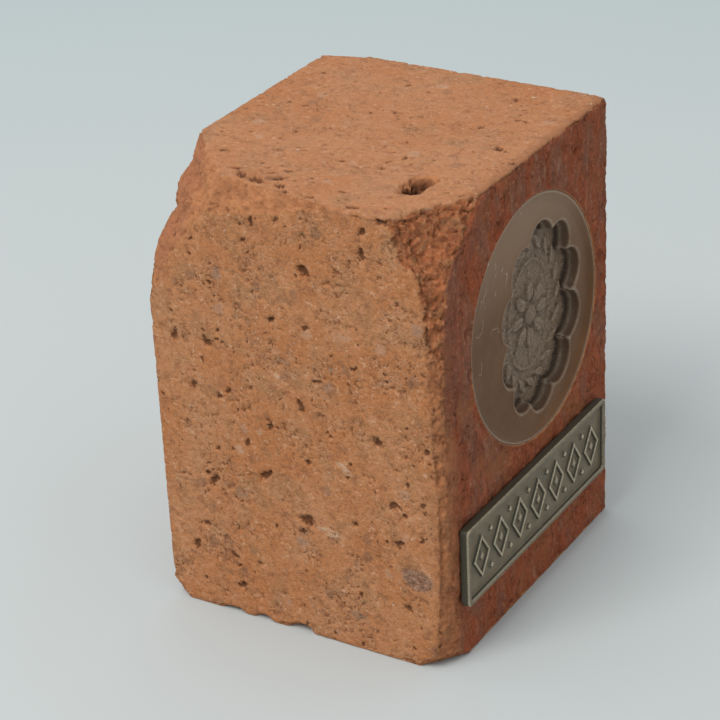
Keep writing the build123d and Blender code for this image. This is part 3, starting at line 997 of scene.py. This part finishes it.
def plate_body():
    """The rimmed plate as loops of points, from its back round its rim to its sunk field."""
    steps = 8
    profile = [(0.0, 0.0), (0.0, 1.80), (0.06, 1.94), (0.2, 2.0)]
    profile += [(0.88, 2.0), (1.0, 1.92), (1.05, 1.5), (1.15, 1.0)]
    loops = []
    for inset, rise in profile:
        radius = max(plate_corner - inset, 0.25)
        x_half, y_half = plate_length / 2 - inset - radius, plate_height / 2 - inset - radius
        for corner, (side_x, side_y) in enumerate(((1, 1), (-1, 1), (-1, -1), (1, -1))):
            for step in range(steps + 1):
                angle = pi / 2 * (corner + step / steps)
                along = plate_centre[0] + side_x * x_half + radius * cos(angle)
                above = plate_centre[1] + side_y * y_half + radius * sin(angle)
                loops.append((moulded_x + rise, along, above))
    length = 4 * (steps + 1)
    faces = ring_faces(len(profile), length) + end_caps(len(profile), length)
    return mesh_object("cast_plate", np.array(loops) * mm, faces)


def lozenge_shape(name, length, height, rows):
    """A solid lozenge or a lozenge frame, as loops of four corners at a share of its size and a rise."""
    corners = np.array([(length / 2, 0), (0, height / 2), (-length / 2, 0), (0, -height / 2)])
    loops = [np.column_stack([corners * share, np.full(4, rise)]) for share, rise in rows]
    faces = ring_faces(len(rows), 4)
    if rows[-1][0] < 0.5:
        faces += end_caps(len(rows), 4)
    else:
        last = 4 * len(rows) - 4
        faces += [(last + k, last + (k + 1) % 4, (k + 1) % 4, k) for k in range(4)]
    return mesh_object(name, np.concatenate(loops) * mm, faces, linked=False)


def plate_band_tree(material):
    """The band of lozenges, with a stud in each and pairs of small studs between them."""
    tree, given, result = mesh_tree("plate_band", {"Lozenges": 7, "Gaps": 6})
    frame_rows = [(1.0, -0.3), (1.0, 0.1), (0.955, 0.66), (0.93, 0.75)]
    frame_rows += [(0.80, 0.75), (0.775, 0.66), (0.722, 0.1), (0.722, -0.3)]
    stud_rows = [(1.0, -0.3), (1.0, 0.1), (0.62, 0.66), (0.4, 0.75)]
    lozenge = lozenge_shape("lozenge", 7.2, 10.4, frame_rows)
    stud = lozenge_shape("stud", 2.1, 3.1, stud_rows)
    small_stud = lozenge_shape("small_stud", 1.9, 1.9, stud_rows)
    number = node_in(tree, "GeometryNodeInputIndex").outputs[0]

    def row_of(shape, count, at_height):
        middle = product(maths("SUBTRACT", count, 1.0), 0.5)
        across = product(maths("SUBTRACT", number, middle), lozenge_pitch * mm)
        place = node("ShaderNodeCombineXYZ", {0: across, 1: at_height * mm}).outputs[0]
        return instances_on(tree, shape, count, place, 0.0)

    parts = [
        row_of(lozenge, given["Lozenges"], 0.0),
        row_of(stud, given["Lozenges"], 0.0),
        row_of(small_stud, given["Gaps"], stud_spacing / 2),
        row_of(small_stud, given["Gaps"], -stud_spacing / 2),
    ]
    centre = (moulded_x + plate_thickness - plate_field_depth, *plate_centre)
    with_body(tree, given, result, faced_out(tree, parts, centre), material)
    return tree


def old_brass():
    """Dark grey-green cast brass: patina and painted shade in its corners, pale rubbed metal and painted
    highlights.
    """
    material, tree, shader = new_material("plate_metal")
    place = place_in_mm(tree)
    below = painted(tree, "below")
    rise = maths("SUBTRACT", split(place)[0], moulded_x)
    clouds = noise_of(place, 0.25, 4.0, 0.6)
    fine = noise_of(place, 2.4, 4.0, 0.7)
    patina = mixed(ramp(clouds, 0.35, 0.68), (0.156, 0.124, 0.079), (0.207, 0.160, 0.102))
    patina = washed(patina, [
        (fine, 0.52, 0.75, 0.7, (0.052, 0.058, 0.043)),
        # Dark patina and painted shade in the corners, and painted shade on the walls
        (below, 0.03, 0.30, 0.85, (0.030, 0.028, 0.019)),
        (painted(tree, "facing"), 0.75, 0.35, 0.8, (0.030, 0.034, 0.024)),
    ])
    # Pale rubbed metal on the tops of the relief, and a painted highlight along the raised edges
    high = product(ramp(rise, 1.50, 1.70), ramp(rise, 1.90, 1.82))
    pale_share = highest(product(high, 0.55), ramp(below, -0.06, -0.19))
    pale_share = product(pale_share, ramp(fine, 0.68, 0.42, 0.25, 1.0))
    wired(shader, {
        "Base Color": mixed(pale_share, patina, (0.62, 0.54, 0.38)),
        "Metallic": linear(pale_share, 0.55, 0.25),
        "Roughness": linear(pale_share, -0.18, 0.52),
        "Normal": bumped(fine, 0.35, 0.06),
    })
    return material


brass = old_brass()
plate = plate_body()
with_tree(plate, plate_band_tree(brass), {})
remeshed(plate, plate_voxel)
with_tree(plate, hollows_tree(reach=22), {"Rounding": 1})
thinned(plate, plate_triangles)
coated(plate, brass)
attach(plate, "root")
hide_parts("name_plate")
